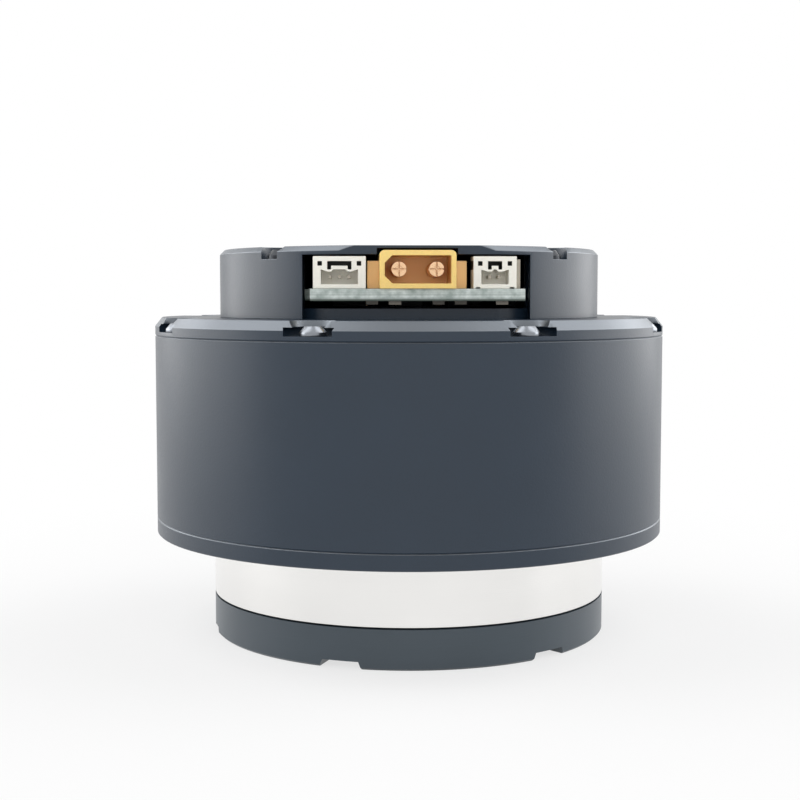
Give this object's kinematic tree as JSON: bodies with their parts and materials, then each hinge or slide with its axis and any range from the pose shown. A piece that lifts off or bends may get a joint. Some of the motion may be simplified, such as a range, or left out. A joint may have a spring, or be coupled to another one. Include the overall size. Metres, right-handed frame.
{
  "type": "robot joint actuator",
  "caption": "Cylindrical geared motor joint: dark housing, bright gearbox band, turning output flange, and a driver cover with power and signal sockets.",
  "frame": {"origin": "centre of the output flange's mounting face", "axes": "+Z along the output axis, from the output flange towards the driver cover; the sockets face -Y"},
  "size_m": [0.076, 0.076, 0.0569],
  "materials": {
    "dark_anodised": "matte dark grey-blue anodised aluminium",
    "bright_steel": "turned bright steel",
    "gear_steel": "ground and hardened gear steel",
    "bearing_steel": "polished bearing steel",
    "lamination_steel": "stacked electrical steel",
    "screw_steel": "bright stainless steel",
    "black_screw": "black oxide steel",
    "magnet_nickel": "nickel-plated magnet",
    "enamelled_copper": "enamelled copper wire, wound and varnished",
    "bare_copper": "tinned copper",
    "bush_bronze": "sintered bronze",
    "gold_plated_brass": "gold-plated brass",
    "insulator_plastic": "glass-filled nylon",
    "seal_rubber": "nitrile rubber",
    "circuit_board": "glass-epoxy laminate with solder mask",
    "chip_plastic": "moulded epoxy",
    "ceramic": "ceramic",
    "can_aluminium": "drawn aluminium can",
    "socket_yellow": "moulded yellow nylon",
    "socket_ivory": "moulded ivory polyamide"
  },
  "bodies": {
    "housing": {"front_cap": "dark_anodised", "main_housing": "dark_anodised", "rear_plate": "dark_anodised", "cover": "dark_anodised", "ring_gear": "bright_steel", "output_seal": "seal_rubber", "output_bearing_outer_race": "bearing_steel", "rotor_bearing_outer_races": "bearing_steel", "stator_core": "lamination_steel", "stator_insulators": "insulator_plastic", "stator_coils": "enamelled_copper", "phase_leads": "bare_copper", "driver_board": "circuit_board", "mosfets": "chip_plastic", "encoder_chip": "chip_plastic", "control_chips": "chip_plastic", "ceramic_capacitors": "ceramic", "bulk_capacitors": "can_aluminium", "board_screws": "screw_steel", "power_socket": "socket_yellow", "power_pins": "gold_plated_brass", "signal_socket_wide": "socket_ivory", "signal_socket_wide_contacts": "gold_plated_brass", "signal_socket_narrow": "socket_ivory", "signal_socket_narrow_contacts": "gold_plated_brass", "ring_gear_screws": "black_screw", "front_screws": "black_screw", "rear_screws": "screw_steel", "cover_screws": "black_screw"},
    "output": {"output_flange": "dark_anodised", "flange_bolts": "black_screw", "carrier_front": "bright_steel", "carrier_rear": "bright_steel", "carrier_screws": "black_screw", "planet_pins": "bearing_steel", "planet_washers": "bush_bronze", "output_bearing_inner_race": "bearing_steel", "carrier_bearing_outer_races": "bearing_steel"},
    "output_roller_train": {"output_bearing_rollers": "bearing_steel"},
    "carrier_bearing_train": {"carrier_bearing_balls": "bearing_steel", "carrier_bearing_cages": "insulator_plastic"},
    "rotor": {"rotor_shaft": "bearing_steel", "sun_gear": "gear_steel", "rotor_bell": "bright_steel", "rotor_magnets": "magnet_nickel", "shaft_circlip": "black_screw", "encoder_magnet": "magnet_nickel", "rotor_bearing_inner_races": "bearing_steel", "carrier_bearing_inner_races": "bearing_steel"},
    "rotor_bearing_train": {"rotor_bearing_balls": "bearing_steel", "rotor_bearing_cages": "insulator_plastic"},
    "planet_1": {"planet_gear_1": "gear_steel", "planet_bush_1": "bush_bronze"},
    "planet_2": {"planet_gear_2": "gear_steel", "planet_bush_2": "bush_bronze"},
    "planet_3": {"planet_gear_3": "gear_steel", "planet_bush_3": "bush_bronze"}
  },
  "joints": [
    {"name": "output_turn", "type": "hinge", "parent": "housing", "child": "output", "pos_m": [0, 0, 0], "axis": [0, 0, 1], "continuous": true},
    {"name": "rotor_turn", "type": "hinge", "parent": "housing", "child": "rotor", "pos_m": [0, 0, 0.035], "axis": [0, 0, 1], "continuous": true},
    {"name": "output_roller_turn", "type": "hinge", "parent": "housing", "child": "output_roller_train", "pos_m": [0, 0, 0.01], "axis": [0, 0, 1], "continuous": true},
    {"name": "carrier_bearing_turn", "type": "hinge", "parent": "output", "child": "carrier_bearing_train", "pos_m": [0, 0, 0.0245], "axis": [0, 0, 1], "continuous": true},
    {"name": "rotor_bearing_turn", "type": "hinge", "parent": "housing", "child": "rotor_bearing_train", "pos_m": [0, 0, 0.0375], "axis": [0, 0, 1], "continuous": true},
    {"name": "planet_1_turn", "type": "hinge", "parent": "output", "child": "planet_1", "pos_m": [0, -0.0135, 0.018], "axis": [0, 0, 1], "continuous": true},
    {"name": "planet_2_turn", "type": "hinge", "parent": "output", "child": "planet_2", "pos_m": [0.01169, 0.00675, 0.018], "axis": [0, 0, 1], "continuous": true},
    {"name": "planet_3_turn", "type": "hinge", "parent": "output", "child": "planet_3", "pos_m": [-0.01169, 0.00675, 0.018], "axis": [0, 0, 1], "continuous": true}
  ],
  "couplings": [
    {"joint": "rotor_turn", "follows": "output_turn", "ratio": 6},
    {"joint": "output_roller_turn", "follows": "output_turn", "ratio": 0.48429},
    {"joint": "carrier_bearing_turn", "follows": "output_turn", "ratio": 2.22},
    {"joint": "rotor_bearing_turn", "follows": "output_turn", "ratio": 2.5034},
    {"joint": "planet_1_turn", "follows": "output_turn", "ratio": -2.5},
    {"joint": "planet_2_turn", "follows": "output_turn", "ratio": -2.5},
    {"joint": "planet_3_turn", "follows": "output_turn", "ratio": -2.5}
  ]
}
